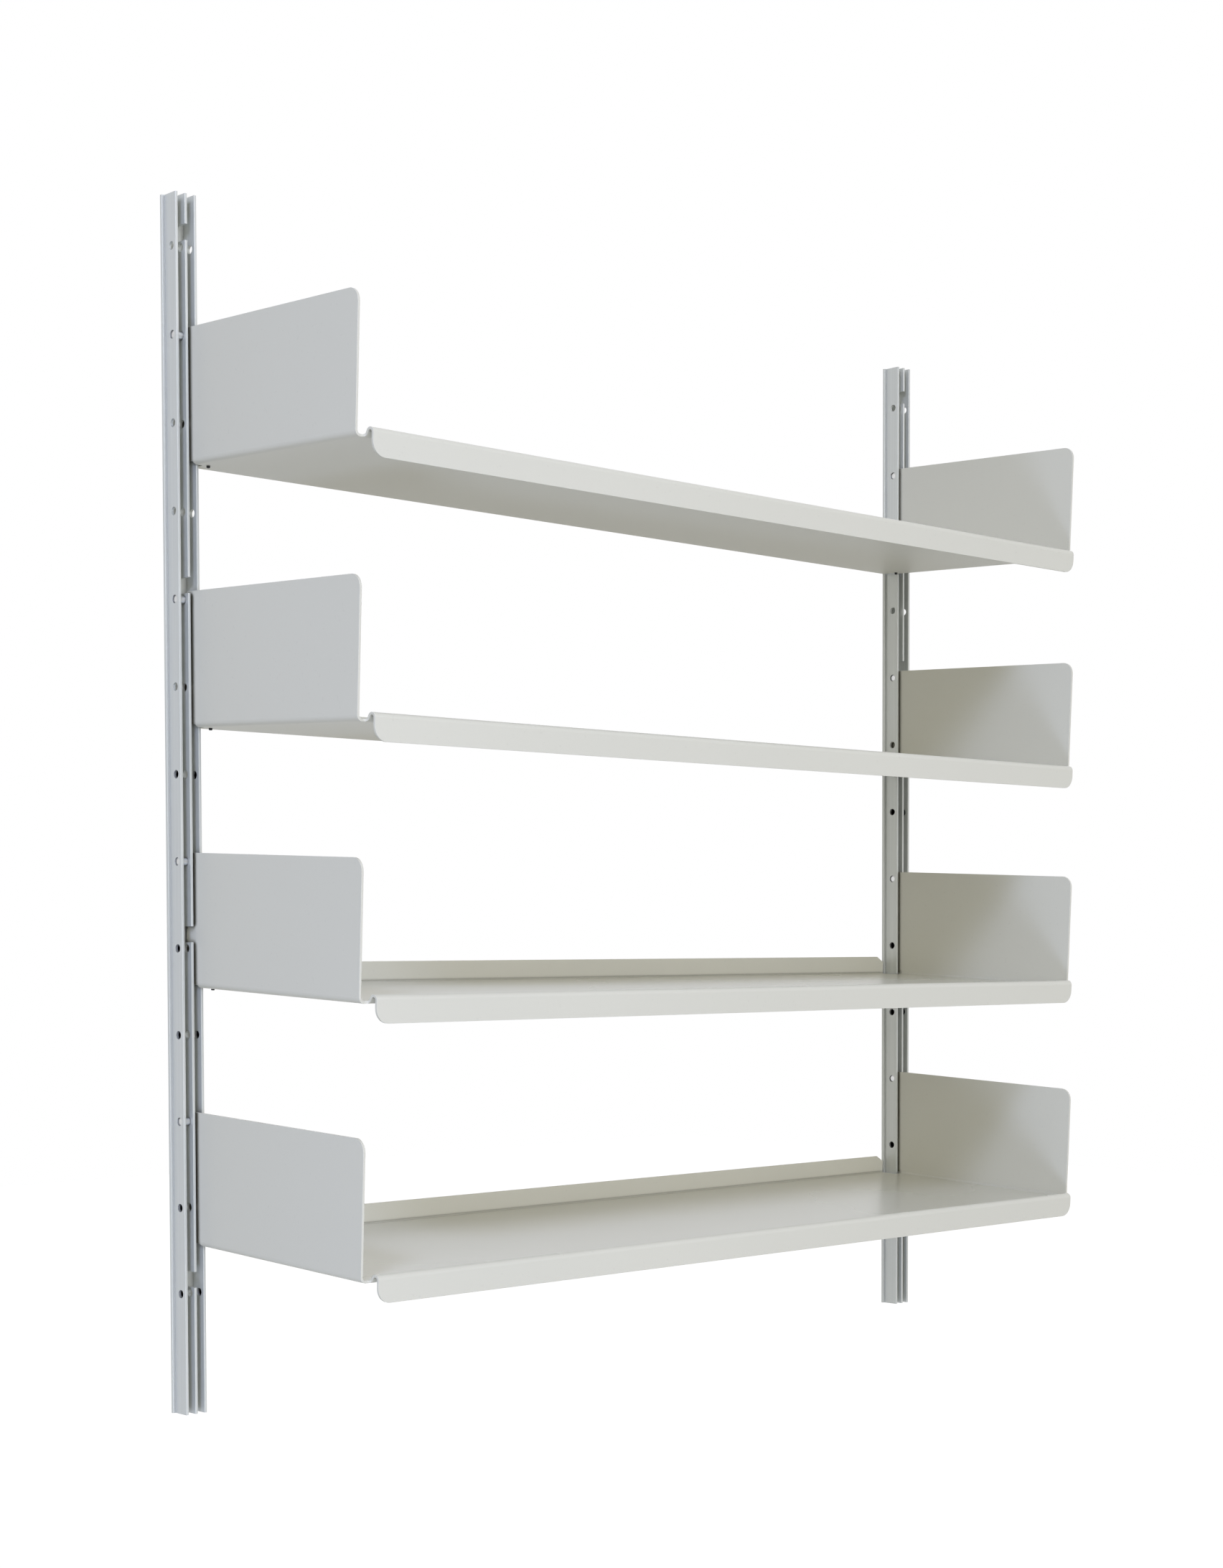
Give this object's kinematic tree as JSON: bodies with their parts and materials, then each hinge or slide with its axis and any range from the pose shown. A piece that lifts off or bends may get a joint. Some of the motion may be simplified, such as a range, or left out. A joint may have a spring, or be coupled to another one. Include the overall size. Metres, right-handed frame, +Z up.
{
  "type": "wall-mounted shelving system",
  "caption": "Wall-mounted shelving: folded sheet-metal shelves with end cheeks, hung by cross pins in two slotted aluminium wall tracks.",
  "frame": {"origin": "centre of the outer rectangle of wall-screw holes, on the wall plane at the back of the tracks", "axes": "+X along the wall to the right as seen from the room, +Y into the wall, +Z up along the tracks"},
  "size_m": [0.9374, 0.2503, 1.008],
  "materials": {
    "track_aluminium": "satin anodised",
    "shelf_enamel": "off-white enamel, satin gloss",
    "pin_metal": "turned, bright",
    "buffer_rubber": "matt, dark"
  },
  "bodies": {
    "wall_tracks": {"track_left": "track_aluminium", "track_right": "track_aluminium"},
    "shelf_1_body": {"shelf_1": "shelf_enamel", "buffer_left_1": "buffer_rubber", "buffer_right_1": "buffer_rubber"},
    "pin_left_1_body": {"pin_left_1": "pin_metal"},
    "pin_right_1_body": {"pin_right_1": "pin_metal"},
    "shelf_2_body": {"shelf_2": "shelf_enamel", "buffer_left_2": "buffer_rubber", "buffer_right_2": "buffer_rubber"},
    "pin_left_2_body": {"pin_left_2": "pin_metal"},
    "pin_right_2_body": {"pin_right_2": "pin_metal"},
    "shelf_3_body": {"shelf_3": "shelf_enamel", "buffer_left_3": "buffer_rubber", "buffer_right_3": "buffer_rubber"},
    "pin_left_3_body": {"pin_left_3": "pin_metal"},
    "pin_right_3_body": {"pin_right_3": "pin_metal"},
    "shelf_4_body": {"shelf_4": "shelf_enamel", "buffer_left_4": "buffer_rubber", "buffer_right_4": "buffer_rubber"},
    "pin_left_4_body": {"pin_left_4": "pin_metal"},
    "pin_right_4_body": {"pin_right_4": "pin_metal"}
  },
  "joints": [
    {"name": "shelf_1_tilt", "type": "hinge", "parent": "wall_tracks", "child": "shelf_1_body", "pos_m": [0, -0.012, 0.3483], "axis": [-1, 0, 0], "range_deg": [0, 20]},
    {"name": "pin_left_1_slide", "type": "slide", "parent": "wall_tracks", "child": "pin_left_1_body", "axis": [-1, 0, 0], "range_m": [0, 0.01]},
    {"name": "pin_right_1_slide", "type": "slide", "parent": "wall_tracks", "child": "pin_right_1_body", "axis": [1, 0, 0], "range_m": [0, 0.01]},
    {"name": "shelf_2_tilt", "type": "hinge", "parent": "wall_tracks", "child": "shelf_2_body", "pos_m": [0, -0.012, 0.1323], "axis": [-1, 0, 0], "range_deg": [0, 20]},
    {"name": "pin_left_2_slide", "type": "slide", "parent": "wall_tracks", "child": "pin_left_2_body", "axis": [-1, 0, 0], "range_m": [0, 0.01]},
    {"name": "pin_right_2_slide", "type": "slide", "parent": "wall_tracks", "child": "pin_right_2_body", "axis": [1, 0, 0], "range_m": [0, 0.01]},
    {"name": "shelf_3_tilt", "type": "hinge", "parent": "wall_tracks", "child": "shelf_3_body", "pos_m": [0, -0.012, -0.0837], "axis": [-1, 0, 0], "range_deg": [0, 20]},
    {"name": "pin_left_3_slide", "type": "slide", "parent": "wall_tracks", "child": "pin_left_3_body", "axis": [-1, 0, 0], "range_m": [0, 0.01]},
    {"name": "pin_right_3_slide", "type": "slide", "parent": "wall_tracks", "child": "pin_right_3_body", "axis": [1, 0, 0], "range_m": [0, 0.01]},
    {"name": "shelf_4_tilt", "type": "hinge", "parent": "wall_tracks", "child": "shelf_4_body", "pos_m": [0, -0.012, -0.2997], "axis": [-1, 0, 0], "range_deg": [0, 20]},
    {"name": "pin_left_4_slide", "type": "slide", "parent": "wall_tracks", "child": "pin_left_4_body", "axis": [-1, 0, 0], "range_m": [0, 0.01]},
    {"name": "pin_right_4_slide", "type": "slide", "parent": "wall_tracks", "child": "pin_right_4_body", "axis": [1, 0, 0], "range_m": [0, 0.01]}
  ]
}
